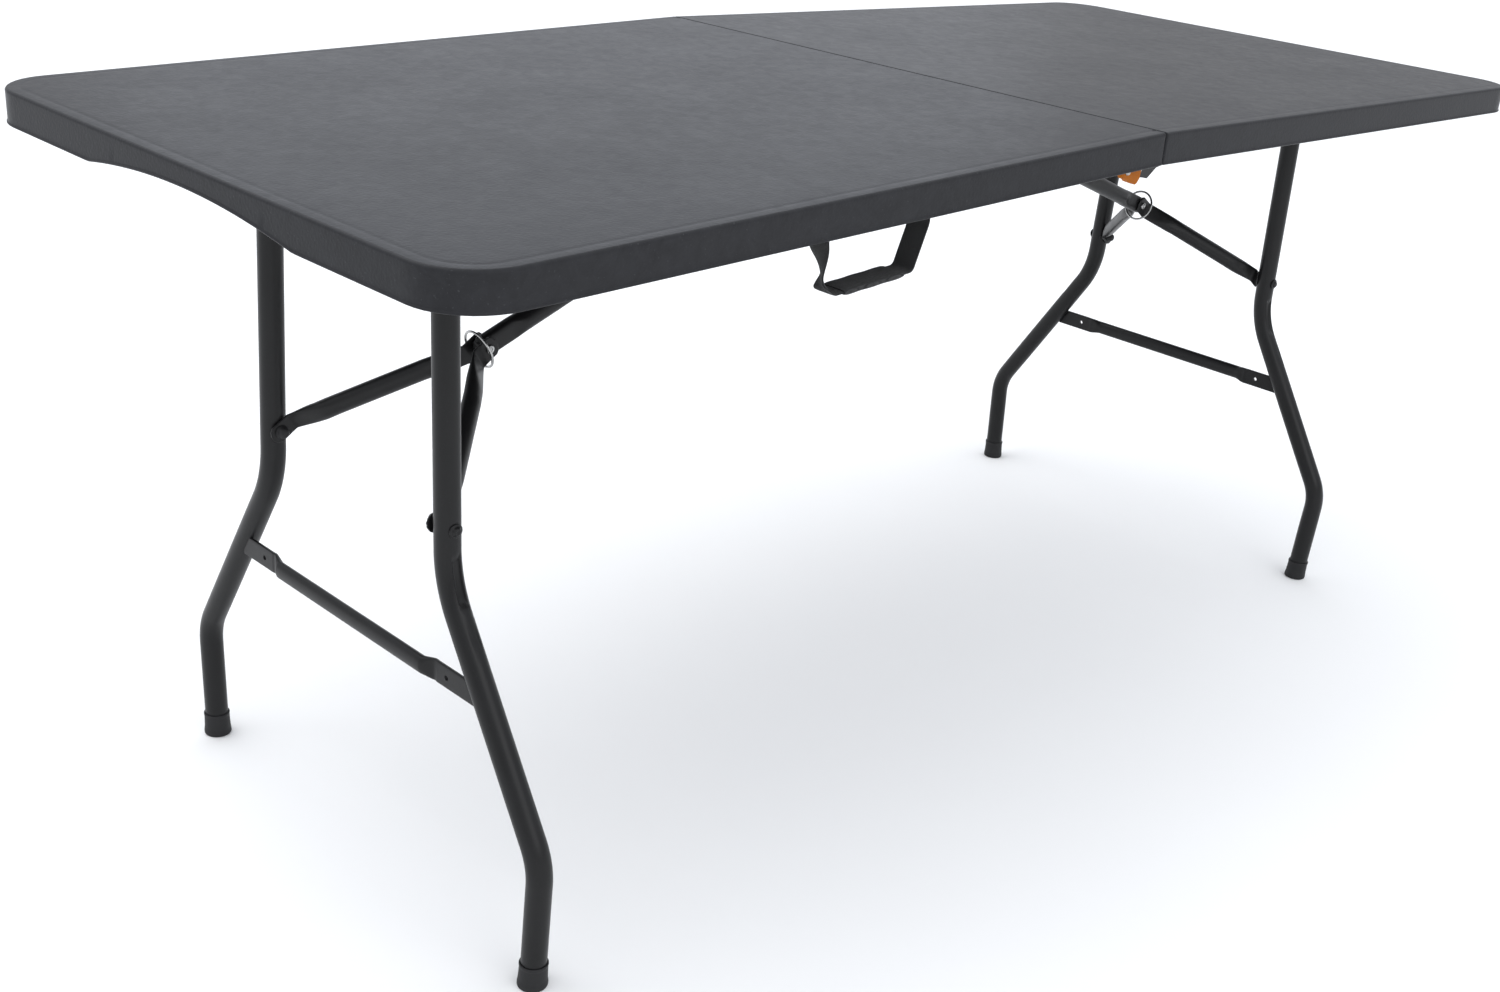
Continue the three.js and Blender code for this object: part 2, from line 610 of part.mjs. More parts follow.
function addHandle() {
  const { width, thick } = STRAP;
  const loop = band(width / 2, thick / 2, STRAP_LOOP, 7);
  add(table, 'handle_strap', loop, webbing);

  const [, left, right] = STRAP_LOOP;
  const ends = [GRIP.from, GRIP.to].map((t) => [
    THREE.MathUtils.lerp(left[0], right[0], t), THREE.MathUtils.lerp(left[1], right[1], t),
  ]);
  const sleeve = band(GRIP.width / 2, GRIP.thick / 2, ends, 0);
  const slot = band(width / 2 + CLEAR, thick / 2 + CLEAR, [
    [ends[0][0] - 5, ends[0][1]], [ends[1][0] + 5, ends[1][1]],
  ], 0);
  add(table, 'handle_grip', cut(sleeve, slot), blackPlastic);

  for (const [name, x] of [['handle_left_tail', -502], ['handle_right_tail', -367]]) {
    const top = upright(-x, DECK).z - 1;
    const tail = box(x - thick / 2, x + thick / 2, STRAP.y - width / 2, STRAP.y + width / 2,
      STRAP.swingZ + 12, top);
    const pad = box(x - 14, x + 14, STRAP.y - width / 2, STRAP.y + width / 2, top - 3, top);
    add(table, name, join(tail, pad), webbing);
  }
}

for (const side of ['left', 'right']) {
  const parts = tableHalf(side);
  addTopAndRails(parts);
  addLegFrame(parts);
  addBrace(parts);
}
addCentreHinges();
addHandle();

export default table;
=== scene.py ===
"""Fold-in-half banquet table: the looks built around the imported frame. Metres, +Z up."""
import math

import bmesh
import bpy
import numpy as np
from mathutils import Matrix, Vector


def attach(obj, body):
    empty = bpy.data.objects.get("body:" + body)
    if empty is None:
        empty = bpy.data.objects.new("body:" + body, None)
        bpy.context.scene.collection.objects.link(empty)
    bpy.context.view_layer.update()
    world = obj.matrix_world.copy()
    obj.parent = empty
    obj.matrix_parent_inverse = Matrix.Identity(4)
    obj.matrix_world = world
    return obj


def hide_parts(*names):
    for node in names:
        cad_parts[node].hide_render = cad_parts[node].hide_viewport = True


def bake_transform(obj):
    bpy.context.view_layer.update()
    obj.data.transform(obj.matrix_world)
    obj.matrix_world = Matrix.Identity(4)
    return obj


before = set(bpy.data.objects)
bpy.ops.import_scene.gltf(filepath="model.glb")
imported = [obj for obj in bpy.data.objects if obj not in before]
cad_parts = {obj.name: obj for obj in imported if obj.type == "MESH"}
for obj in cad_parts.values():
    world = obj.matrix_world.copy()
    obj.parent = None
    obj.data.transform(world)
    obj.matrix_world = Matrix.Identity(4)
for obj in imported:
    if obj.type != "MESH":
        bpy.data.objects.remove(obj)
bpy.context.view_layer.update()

MM = 0.001

# ---- sizes, in millimetres -------------------------------------------------------------

CAMBER = math.radians(1.15)
HINGE_Z = 716.0
HINGE_DEPTH = 43.5
HALF_LENGTH = 899.3
HALF_WIDTH = 375.0
SEAM = 0.15
CORNER = 60.0
SEAM_CORNER = 2.5
ARCH_SPAN, ARCH_RISE = 332.0, 14.0

LEG_PIVOT = (734.7, 28.0)
LEG_RADIUS = 12.7
LEG_ROUTE = [(138.4, 13.2), (148.0, 347.0), (293.4, 579.5), (288.2, 706.0)]
LEG_BENDS = [0.0, 125.0, 70.0, 0.0]
FOOT_HEIGHT = 27.0
STRETCHER_DROP, STRETCHER_X, STRETCHER_FLAT_X = 441.0, 10.1, 6.0

LINK_PIVOT = (24.0, 21.2)
LINK_LENGTH = 599.306
ARM_LENGTH = 180.734
ARM_DROP = 292.0
BRACE_RADIUS = 11.0
ARM_FOOT_Y = 131.0

RAIL_Y = 338.0
STRAP_Y, STRAP_WIDTH, STRAP_THICK = -352.6, 24.0, 2.2
STRAP_SWING = 709.3
STRAP_LEFT, STRAP_RIGHT = -502.0, -367.0
STRAP_FOOT = [(-489.0, 661.0), (-383.0, 667.0)]

DECK_TOP, DECK_UNDER, RIM_FOOT = HINGE_DEPTH, 37.5, 9.5  # heights over the hinge axis
DECK_THICK = 6
RIM_REACH = 25.0  # how far in from the end the arch cuts the rim
RAIL_START, RAIL_END, RAIL_CUT = 32.0, 778.0, 0.6
PIVOT_TUBE_END, PIVOT_STUB = 334.3, 3.2
WELD_DROP = 12.4
STRETCHER_HOLE_Y, STRETCHER_HOLE_RADIUS = 158.0, 2.7
RING_RADIUS, RING_WIRE, RING_PAST = 20.1, 1.4, 6.0
ELBOW_FACE = 10.5
PIN_FACE = BRACE_RADIUS + 3.3
RAIL_SCREWS_U, RAIL_SCREWS_IN, RAIL_SCREWS_DEPTH = (70, 245, 420, 595, 690), 9, 8.7
BRACKET_SCREWS_U, BRACKET_SCREWS_Y, BRACKET_SCREWS_DEPTH = 22, (-21.5, 21.5), 8.4
HANDLE_SCREWS_APART = 8.5  # each from the middle of its webbing
FLOOR_REACH = 60.0  # metres
MIX_A, MIX_B, MIX_RESULT = 6, 7, 2  # the Mix node's colour sockets


def upright(u, d):
    """The upright place (x, z) of a point of a half: u along it, d below its top."""
    h = HINGE_DEPTH - d
    return (u * math.cos(CAMBER) + h * math.sin(CAMBER),
            HINGE_Z - u * math.sin(CAMBER) + h * math.cos(CAMBER))


def side_turn(side):
    """Half a turn about Z for the left side, none for the right."""
    return Matrix.Rotation(math.pi if side == "left" else 0.0, 4, "Z")


def half_frame(side):
    """From a half's own axes (u, y, height over the hinge axis) to the table's."""
    tilt = Matrix.Translation((0, 0, HINGE_Z)) @ Matrix.Rotation(CAMBER, 4, "Y")
    return side_turn(side) @ tilt


def places(side):
    """The half's two long sides: their names on the table, and their sign in the half."""
    return (("front", -1), ("back", 1)) if side == "right" else (("front", 1), ("back", -1))


# ---- materials ---------------------------------------------------------------------------


class Finish:
    """A Principled material, with helpers that feed its colour, roughness and bump."""

    def __init__(self, name, roughness, metallic=0.0, specular=0.5):
        self.material = bpy.data.materials.new(name)
        self.material.use_nodes = True
        tree = self.material.node_tree
        tree.nodes.clear()
        self.nodes, self.links = tree.nodes, tree.links
        out = self.nodes.new("ShaderNodeOutputMaterial")
        self.shader = self.nodes.new("ShaderNodeBsdfPrincipled")
        self.links.new(self.shader.outputs["BSDF"], out.inputs["Surface"])
        self.shader.inputs["Roughness"].default_value = roughness
        self.shader.inputs["Metallic"].default_value = metallic
        self.shader.inputs["Specular IOR Level"].default_value = specular
        self.coords = self.nodes.new("ShaderNodeTexCoord")

    def place(self, node, source="Object"):
        """Feeds a texture its coordinates."""
        self.links.new(self.coords.outputs[source], node.inputs["Vector"])

    def noise(self, scale, detail=3.0, roughness=0.55, distortion=0.0):
        node = self.nodes.new("ShaderNodeTexNoise")
        node.inputs["Scale"].default_value = scale
        node.inputs["Detail"].default_value = detail
        node.inputs["Roughness"].default_value = roughness
        node.inputs["Distortion"].default_value = distortion
        self.place(node)
        return node.outputs["Fac"]

    def cells(self, scale, feature):
        node = self.nodes.new("ShaderNodeTexVoronoi")
        node.feature = feature
        node.inputs["Scale"].default_value = scale
        self.place(node)
        return node.outputs["Distance"]

    def waves(self, scale, direction):
        node = self.nodes.new("ShaderNodeTexWave")
        node.bands_direction = direction
        node.inputs["Scale"].default_value = scale
        node.inputs["Distortion"].default_value = 0.0
        self.place(node, "UV")
        return node.outputs["Fac"]

    def spread(self, value, low, high, out_low=0.0, out_high=1.0):
        node = self.nodes.new("ShaderNodeMapRange")
        for name, number in (("From Min", low), ("From Max", high),
                             ("To Min", out_low), ("To Max", out_high)):
            node.inputs[name].default_value = number
        self.links.new(value, node.inputs["Value"])
        return node.outputs["Result"]

    def math(self, operation, a, b):
        node = self.nodes.new("ShaderNodeMath")
        node.operation = operation
        for socket, value in zip(node.inputs, (a, b)):
            if isinstance(value, (int, float)):
                socket.default_value = value
            else:
                self.links.new(value, socket)
        return node.outputs["Value"]

    def mix(self, factor, a, b):
        node = self.nodes.new("ShaderNodeMix")
        node.data_type = "RGBA"
        self.links.new(factor, node.inputs["Factor"])
        for socket, value in zip((node.inputs[MIX_A], node.inputs[MIX_B]), (a, b)):
            if isinstance(value, tuple):
                socket.default_value = (*value, 1.0)
            else:
                self.links.new(value, socket)
        return node.outputs[MIX_RESULT]

    def color(self, value):
        self.links.new(value, self.shader.inputs["Base Color"])

    def roughness(self, value):
        self.links.new(value, self.shader.inputs["Roughness"])

    def bump(self, *layers):
        """Layers of (height, distance in metres), the first one lowest."""
        normal = None
        for height, distance in layers:
            node = self.nodes.new("ShaderNodeBump")
            node.inputs["Strength"].default_value = 1.0
            node.inputs["Distance"].default_value = distance
            self.links.new(height, node.inputs["Height"])
            if normal is not None:
                self.links.new(normal, node.inputs["Normal"])
            normal = node.outputs["Normal"]
        self.links.new(normal, self.shader.inputs["Normal"])


def tabletop_plastic():
    f = Finish("tabletop_plastic", 0.5, specular=0.07)
    patch = f.spread(f.noise(9, 4, 0.6), 0.32, 0.68)
    mottle = f.spread(f.noise(62, 4, 0.65, distortion=0.6), 0.34, 0.66)
    grey = f.mix(patch, (0.0215, 0.0218, 0.0238), (0.0235, 0.0238, 0.026))
    grey = f.mix(f.math("MULTIPLY", mottle, 0.5), grey, (0.032, 0.0328, 0.0362))
    dust = f.spread(f.noise(420, 2, 0.5), 0.66, 0.74)
    f.color(f.mix(f.math("MULTIPLY", dust, 0.16), grey, (0.12, 0.124, 0.132)))
    f.roughness(f.math("ADD", f.spread(mottle, 0, 1, 0.32, 0.385), f.spread(patch, 0, 1, -0.015, 0.02)))
    pebble = f.spread(f.cells(330, "SMOOTH_F1"), 0.1, 0.8)
    f.bump((f.noise(38, 2, 0.5), 0.00014), (f.noise(150, 3, 0.6), 0.00009), (pebble, 0.00009))
    return f.material


def painted_steel():
    f = Finish("painted_steel", 0.4, specular=0.24)
    patch = f.spread(f.noise(14, 4, 0.6), 0.3, 0.7)
    grey = f.mix(patch, (0.0072, 0.0072, 0.0075), (0.0105, 0.0105, 0.011))
    speck = f.spread(f.noise(900, 2, 0.5), 0.6, 0.75)
    f.color(f.mix(f.math("MULTIPLY", speck, 0.25), grey, (0.03, 0.03, 0.032)))
    f.roughness(f.spread(patch, 0, 1, 0.3, 0.4))
    f.bump((f.noise(60, 2, 0.5), 0.0001), (f.noise(700, 3, 0.6), 0.00005))
    return f.material


def black_plastic():
    f = Finish("black_plastic", 0.6, specular=0.3)
    patch = f.spread(f.noise(45, 3, 0.6), 0.3, 0.7)
    f.color(f.mix(patch, (0.0095, 0.0095, 0.0102), (0.0165, 0.0165, 0.0175)))
    f.roughness(f.spread(patch, 0, 1, 0.5, 0.66))
    f.bump((f.noise(160, 3, 0.6), 0.00012), (f.noise(1400, 2, 0.5), 0.00005))
    return f.material


def bright_steel():
    f = Finish("bright_steel", 0.2, metallic=1.0)
    patch = f.spread(f.noise(120, 3, 0.6), 0.3, 0.7)
    f.color(f.mix(patch, (0.3, 0.3, 0.3), (0.5, 0.5, 0.49)))
    f.roughness(f.spread(patch, 0, 1, 0.16, 0.34))
    f.bump((f.noise(900, 3, 0.6), 0.00003))
    return f.material


def orange_plastic():
    f = Finish("orange_plastic", 0.5, specular=0.1)
    patch = f.spread(f.noise(60, 3, 0.6), 0.3, 0.7)
    f.color(f.mix(patch, (0.33, 0.09, 0.001), (0.42, 0.125, 0.002)))
    f.roughness(f.spread(patch, 0, 1, 0.44, 0.56))
    f.bump((f.noise(500, 3, 0.6), 0.00005))
    return f.material


def webbing():
    f = Finish("webbing", 0.85, specular=0.25)
    ribs = f.waves(0.5, "X")
    picks = f.waves(0.42, "Y")
    weave = f.math("MULTIPLY", ribs, picks)
    patch = f.spread(f.noise(120, 3, 0.6), 0.3, 0.7)
    dark = f.mix(patch, (0.0055, 0.0055, 0.006), (0.009, 0.009, 0.0095))
    f.color(f.mix(weave, dark, (0.022, 0.022, 0.023)))
    f.shader.inputs["Sheen Weight"].default_value = 0.15
    f.bump((weave, 0.0004), (f.noise(2500, 2, 0.5), 0.00005))
    return f.material


PLASTIC, STEEL, BLACK = tabletop_plastic(), painted_steel(), black_plastic()
BRIGHT, ORANGE, WEBBING = bright_steel(), orange_plastic(), webbing()


# ---- mesh helpers --------------------------------------------------------------------------


def loft(rings, closed_path=False, caps=True):
    """Faces that join rings of the same count, as (vertices, faces)."""
    count = len(rings[0])
    verts = [tuple(p) for ring in rings for p in ring]
    faces = []
    last = len(rings) if closed_path else len(rings) - 1
    for i in range(last):
        a, b = i * count, (i + 1) % len(rings) * count
        for k in range(count):
            n = (k + 1) % count
            faces.append((a + k, a + n, b + n, b + k))
    if caps and not closed_path:
        faces.append(tuple(reversed(range(count))))
        faces.append(tuple((len(rings) - 1) * count + k for k in range(count)))
    return verts, faces


def merged(*parts):
    """Several (vertices, faces) shapes as one."""
    verts, faces = [], []
    for part_verts, part_faces in parts:
        base = len(verts)
        verts += part_verts
        faces += [tuple(base + i for i in face) for face in part_faces]
    return verts, faces


def piece(name, shape, material, body, nodes=(), matrix=None, sharp=40, weld=1e-7, uvs=None):
    """A named object from a shape in millimetres, riding on a body in place of CAD nodes."""
    verts, faces = shape
    mesh = bpy.data.meshes.new(name)
    mesh.from_pydata([tuple(c * MM for c in v) for v in verts], [], faces)
    if uvs is not None:
        layer = mesh.uv_layers.new(name="UVMap")
        for loop in mesh.loops:
            layer.data[loop.index].uv = uvs[loop.vertex_index]
    if matrix is not None:
        scaled = matrix.copy()
        scaled.translation = matrix.translation * MM
        mesh.transform(scaled)
    work = bmesh.new()
    work.from_mesh(mesh)
    if weld:
        bmesh.ops.remove_doubles(work, verts=work.verts, dist=weld)
        bmesh.ops.dissolve_degenerate(work, edges=work.edges, dist=weld)
    bmesh.ops.recalc_face_normals(work, faces=work.faces)
    work.to_mesh(mesh)
    work.free()
    mesh.shade_smooth()
    mesh.set_sharp_from_angle(angle=math.radians(sharp))
    mesh.materials.append(material)
    obj = bpy.data.objects.new(name, mesh)
    bpy.context.scene.collection.objects.link(obj)
    if body is not None:
        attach(obj, body)
    if nodes:
        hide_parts(*nodes)
    return obj


def carried(node, material, bevel):
    """A CAD node that stays, with its edges eased and its real finish."""
    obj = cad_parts[node]
    obj.data.materials.clear()
    obj.data.materials.append(material)
    weld = obj.modifiers.new("weld", "WELD")
    weld.merge_threshold = 1e-5
    ease = obj.modifiers.new("ease", "BEVEL")
    ease.width = bevel * MM
    ease.segments = 3
    ease.limit_method = "ANGLE"
    ease.angle_limit = math.radians(32)
    obj.modifiers.new("normals", "WEIGHTED_NORMAL")
    obj.data.shade_smooth()


def turns(count):
    """Evenly spaced angles round a circle."""
    return [2 * math.pi * k / count for k in range(count)]


def ellipse(half_width, half_height, power, count, shift):
    """A section squarer than an ellipse where its power is below 1."""
    points = []
    for angle in turns(count):
        c, s = math.cos(angle), math.sin(angle)
        points.append((shift + math.copysign(abs(c) ** power, c) * half_width,
                       math.copysign(abs(s) ** power, s) * half_height))
    return points


def smooth(t):
    """An eased step from 0 to 1."""
    t = min(1.0, max(0.0, t))
    return t * t * (3 - 2 * t)


def between(stations, at):
    """Key stations (at, offset, section...) at a place: a straight offset, a smooth section."""
    if at <= stations[0][0]:
        return stations[0][1:]
    for a, b in zip(stations, stations[1:]):
        if at <= b[0]:
            t = (at - a[0]) / (b[0] - a[0])
            offset = a[1] + (b[1] - a[1]) * t
            return (offset, *(p + (q - p) * smooth(t) for p, q in zip(a[2:], b[2:])))
    return stations[-1][1:]


def formed_tube(stations, marks, place, count=40):
    """A tube through key stations (at, offset, half width, half height, power)."""
    rings = []
    for at in marks:
        offset, width, height, power = between(stations, at)
        rings.append([place(at, a, b) for a, b in ellipse(width, height, power, count, offset)])
    return loft(rings)


def lathe(profile, count=48):
    """Turns a profile of (radius, height) round the Y axis."""
    rings = [[(radius * math.cos(a), height, radius * math.sin(a)) for a in turns(count)]
             for radius, height in profile]
    return loft(rings, caps=False)


def rounded(profile, radius, steps=3):
    """Softens a lathe profile's corners."""
    out = [profile[0]]
    for before, corner, after in zip(profile, profile[1:], profile[2:]):
        a, c, b = (np.array(p, float) for p in (before, corner, after))
        # under half of each side, so that two corners' curves never meet
        reach_a = min(radius, np.linalg.norm(a - c) / 2.2)
        reach_b = min(radius, np.linalg.norm(b - c) / 2.2)
        p = c + (a - c) / max(np.linalg.norm(a - c), 1e-9) * reach_a
        q = c + (b - c) / max(np.linalg.norm(b - c), 1e-9) * reach_b
        for k in range(steps + 1):
            t = k / steps
            out.append(tuple((1 - t) ** 2 * p + 2 * t * (1 - t) * c + t * t * q))
    out.append(profile[-1])
    return out


def shifted(shape, dx=0.0, dy=0.0, dz=0.0, flip=False):
    """A shape mirrored in Y if asked, then moved."""
    verts, faces = shape
    sign = -1 if flip else 1
    return [(x + dx, sign * y + dy, z + dz) for x, y, z in verts], faces


# ---- table top -------------------------------------------------------------------------------

CELLS_U, CELLS_Y, CORNER_STEPS = 112, 88, 10


def contour(inset, seam_inset):
    """The half's outline moved inward, with how far each point belongs to the seam."""
    x0, x1, y1 = SEAM + seam_inset, HALF_LENGTH - inset, HALF_WIDTH - inset
    far, near = max(CORNER - inset, 0.0), max(SEAM_CORNER - seam_inset, 0.0)
    points = []

    def line(a, b, steps, seam):
        for k in range(steps + 1):
            t = k / steps
            points.append((a[0] + (b[0] - a[0]) * t, a[1] + (b[1] - a[1]) * t, seam))

    def arc(cx, cy, radius, start, seam):
        for k in range(1, CORNER_STEPS):
            angle = start + math.pi / 2 * k / CORNER_STEPS
            share = seam[0] + (seam[1] - seam[0]) * k / CORNER_STEPS
            points.append((cx + radius * math.cos(angle), cy + radius * math.sin(angle), share))

    line((x0 + near, -y1), (x1 - far, -y1), CELLS_U, 0.0)
    arc(x1 - far, -y1 + far, far, -math.pi / 2, (0, 0))
    line((x1, -y1 + far), (x1, y1 - far), CELLS_Y, 0.0)
    arc(x1 - far, y1 - far, far, 0.0, (0, 0))
    line((x1 - far, y1), (x0 + near, y1), CELLS_U, 0.0)
    arc(x0 + near, y1 - near, near, math.pi / 2, (0, 1))
    line((x0, y1 - near), (x0, -y1 + near), CELLS_Y, 1.0)
    arc(x0 + near, -y1 + near, near, math.pi, (1, 0))
    return points


def arch(u, y):
    """How far the end rim's lower edge rises at y."""
    if u < HALF_LENGTH - RIM_REACH or abs(y) >= ARCH_SPAN / 2:
        return 0.0
    radius = (ARCH_SPAN ** 2 / 4 + ARCH_RISE ** 2) / (2 * ARCH_RISE)
    return math.sqrt(radius ** 2 - y ** 2) - radius + ARCH_RISE


def top_profile():
    """(inset, height, inset at the seam, height at the seam, share of the arch's rise)."""
    top, bottom, under = DECK_TOP, RIM_FOOT, DECK_UNDER
    # where the seam's inset is below zero, the wall's foot reaches across the gap and closes it
    rows = [
        (60, under, 30, under, 0), (13.5, under, 10.5, under, 0), (11, under - 0.4, 8, under - 0.4, 0),
        (9.5, under - 1.6, 6.8, under - 1.6, 0), (9, under - 4, 6.5, under - 4, 0),
        (9, bottom + 3, 6.5, bottom + 3, 1), (9, bottom + 1.2, 6.5, bottom + 1.2, 1),
        (8.6, bottom + 0.4, 6.2, bottom + 0.4, 1), (7.8, bottom, 5.6, bottom, 1),
        (1.5, bottom, 1, bottom, 1), (0.7, bottom + 0.15, 0.4, bottom + 0.15, 1),
        (0.2, bottom + 0.6, -0.2, bottom + 0.6, 1), (0, bottom + 1.2, -0.3, bottom + 1.2, 1),
        (0.1, bottom + 1.9, -0.3, bottom + 1.9, 1), (0.45, bottom + 2.3, -0.3, bottom + 2.3, 1),
        (0.8, bottom + 2.6, -0.3, bottom + 2.6, 1), (0.95, bottom + 3.2, -0.3, bottom + 3.2, 1),
        (1, bottom + 6, 0, bottom + 6, 0.6), (1.3, top - 8, 0, top - 8, 0),
    ]
    radius, seam_radius = 3.4, 1.3
    for k in range(9):
        angle = math.pi / 2 * k / 8
        rows.append((1.3 + radius * (1 - math.cos(angle)), top - 0.25 - radius * (1 - math.sin(angle)),
                     seam_radius * (1 - math.cos(angle)), top - seam_radius * (1 - math.sin(angle)), 0))
    rows += [(9, top - 0.2, 1.6, top, 0), (12.5, top - 0.21, 1.9, top, 0), (13.6, top - 0.3, 2.1, top, 0),
             (15, top - 0.38, 2.3, top, 0), (16.6, top - 0.28, 2.6, top, 0),
             (18.4, top - 0.08, 3, top, 0), (20.5, top, 3.4, top, 0), (60, top, 8, top, 0)]
    return rows


def top_shape():
    """Rim and walls as one shell, closed by the deck's upper face and its underside."""
    rings = []
    for inset, height, seam_inset, seam_height, rise in top_profile():
        rings.append([(x, y, height + (seam_height - height) * seam + rise * arch(x, y))
                      for x, y, seam in contour(inset, seam_inset)])
    shell = loft(rings, caps=False)

    def sheet(u0, height, wave):
        rows = []
        u1, edge = HALF_LENGTH - CORNER, HALF_WIDTH - CORNER
        for j in range(CELLS_Y + 1):
            y = -edge + 2 * edge * j / CELLS_Y
            for i in range(CELLS_U + 1):
                u = u0 + (u1 - u0) * i / CELLS_U
                inside = min(i, CELLS_U - i, j, CELLS_Y - j) > 0
                rows.append((u, y, height + (wave(u, y) if inside else 0.0)))
        across = CELLS_U + 1
        faces = [(j * across + i, j * across + i + 1, (j + 1) * across + i + 1, (j + 1) * across + i)
                 for j in range(CELLS_Y) for i in range(CELLS_U)]
        return rows, faces

    def settle(u, y):
        """Slight waves of the upper face, fading out towards its edges."""
        near, far, edge, fading = 10, 835, HALF_WIDTH - CORNER, 60
        fade = smooth(min(u - near, far - u, edge - abs(y)) / fading)
        return fade * 0.16 * (math.sin(u / 47 + 1.3 * math.sin(y / 83)) + math.sin(y / 39 + u / 131))

    def dents(u, y):
        """Rows of shallow cones where the lower wall is drawn up towards the upper one."""
        pitch, depth = 62.0, 4.4
        row = round(y / pitch)
        first = 45 + (pitch / 2 if row % 2 else 0.0)
        cu = round((u - first) / pitch) * pitch + first
        away = math.hypot(u - cu, y - row * pitch)
        if not 60 < cu < 820 or abs(row * pitch) > 295:
            return 0.0
        return depth * smooth((17 - away) / 12)

    return merged(shell, sheet(SEAM + 8, DECK_TOP, settle), sheet(SEAM + 30, DECK_UNDER, dents))


for side in ("left", "right"):
    piece(f"{side}_tabletop", top_shape(), PLASTIC, f"{side}_half", [f"{side}_top"],
          half_frame(side), sharp=55, weld=2e-6)

# ---- steel under the top ------------------------------------------------------------------------


def rail_shape(sign):
    """A rolled angle: an upright web and a flange along its top, with a rounded bend between."""
    sheet, flange, bottom, top = 2.2, 18.0, HINGE_DEPTH - 32.0, HINGE_DEPTH - 6.4
    y = RAIL_Y
    centre = [(y - flange, top - 1.1), (y - 3, top - 1.1), (y - 0.4, top - 1.6), (y + 0.7, top - 2.8),
              (y + 1.1, top - 4.5), (y + 1.1, bottom + 0.6)]
    pts = [np.array(p, float) for p in centre]
    left, right = [], []
    for i, p in enumerate(pts):
        d = pts[min(i + 1, len(pts) - 1)] - pts[max(i - 1, 0)]
        n = np.array([-d[1], d[0]]) / np.linalg.norm(d) * sheet / 2
        left.append(p + n)
        right.append(p - n)
    outline = left + right[::-1]
    cuts = (RAIL_START, RAIL_START + RAIL_CUT, RAIL_END - RAIL_CUT, RAIL_END)
    return loft([[(u, sign * p[0], p[1]) for p in outline] for u in cuts])


def screw_shape(radius=4.6):
    """A pan head with a round recess, its axis along Y and its face towards +Y."""
    profile = [(0, 0), (radius, 0), (radius, 0.9), (radius * 0.8, 1.9), (radius * 0.42, 2.4),
               (radius * 0.4, 1.4), (0, 0.9)]
    return lathe(rounded(profile, 0.3), 32)


def down_facing(shape, u, y, height):
    """Turns a lathe along Y to face down, then moves it to (u, y, height)."""
    verts, faces = shape
    return [(u + x, y + z, height - yy) for x, yy, z in verts], faces


for side in ("left", "right"):
    half, body = half_frame(side), f"{side}_half"
    for place, sign in places(side):
        piece(f"{side}_{place}_side_rail", rail_shape(sign), STEEL, body, [f"{side}_{place}_rail"],
              half, sharp=30)
        carried(f"{side}_{place}_pivot_bracket", STEEL, 0.6)
        screws = [down_facing(screw_shape(), u, sign * (RAIL_Y - RAIL_SCREWS_IN),
                              HINGE_DEPTH - RAIL_SCREWS_DEPTH) for u in RAIL_SCREWS_U]
        piece(f"{side}_{place}_rail_screws", merged(*screws), BRIGHT, body, (), half)
    carried(f"{side}_link_bracket", STEEL, 0.5)
    screws = [down_facing(screw_shape(4.0), BRACKET_SCREWS_U, y, HINGE_DEPTH - BRACKET_SCREWS_DEPTH)
              for y in BRACKET_SCREWS_Y]
    piece(f"{side}_bracket_screws", merged(*screws), BRIGHT, body, (), half)
    head = [(0, 2.5), (2.4, 2.4), (4.6, 1.7), (5.8, 0.5), (5.9, 0), (3, 0)]
    profile = [(r, PIN_FACE + h) for r, h in head]
    profile += [(r, -PIN_FACE - h) for r, h in reversed(head)]
    pin = shifted(lathe(profile), LINK_PIVOT[0], 0, HINGE_DEPTH - LINK_PIVOT[1])
    piece(f"{side}_link_pivot_pin", pin, BRIGHT, body, [f"{side}_link_pin"], half, sharp=50)

# ---- leg frames ------------------------------------------------------------------------------------


def bent_path(corners, radii, arc_steps, straight):
    """Points (place, tangent, length so far) along straight runs joined by arcs."""
    pts = []
    corners = [np.array(c, float) for c in corners]
    for i, c in enumerate(corners):
        if not radii[i]:
            pts.append(c)
            continue
        back = corners[i - 1] - c
        ahead = corners[i + 1] - c
        back, ahead = back / np.linalg.norm(back), ahead / np.linalg.norm(ahead)
        half = math.acos(float(np.clip(back @ ahead, -1, 1))) / 2
        bis = (back + ahead) / np.linalg.norm(back + ahead)
        centre = c + bis * radii[i] / math.sin(half)
        reach = radii[i] / math.tan(half)
        a, b = c + back * reach - centre, c + ahead * reach - centre
        total = math.acos(float(np.clip(a @ b / radii[i] ** 2, -1, 1)))
        for k in range(arc_steps + 1):
            t = k / arc_steps
            pts.append(centre + (math.sin((1 - t) * total) * a + math.sin(t * total) * b) / math.sin(total))
    fine = [pts[0]]
    for a, b in zip(pts, pts[1:]):
        steps = max(1, int(np.linalg.norm(b - a) / straight))
        fine += [a + (b - a) * k / steps for k in range(1, steps + 1)]
    out, run = [], 0.0
    for i, p in enumerate(fine):
        if i:
            run += float(np.linalg.norm(p - fine[i - 1]))
        d = fine[min(i + 1, len(fine) - 1)] - fine[max(i - 1, 0)]
        out.append((p, d / np.linalg.norm(d), run))
    return out


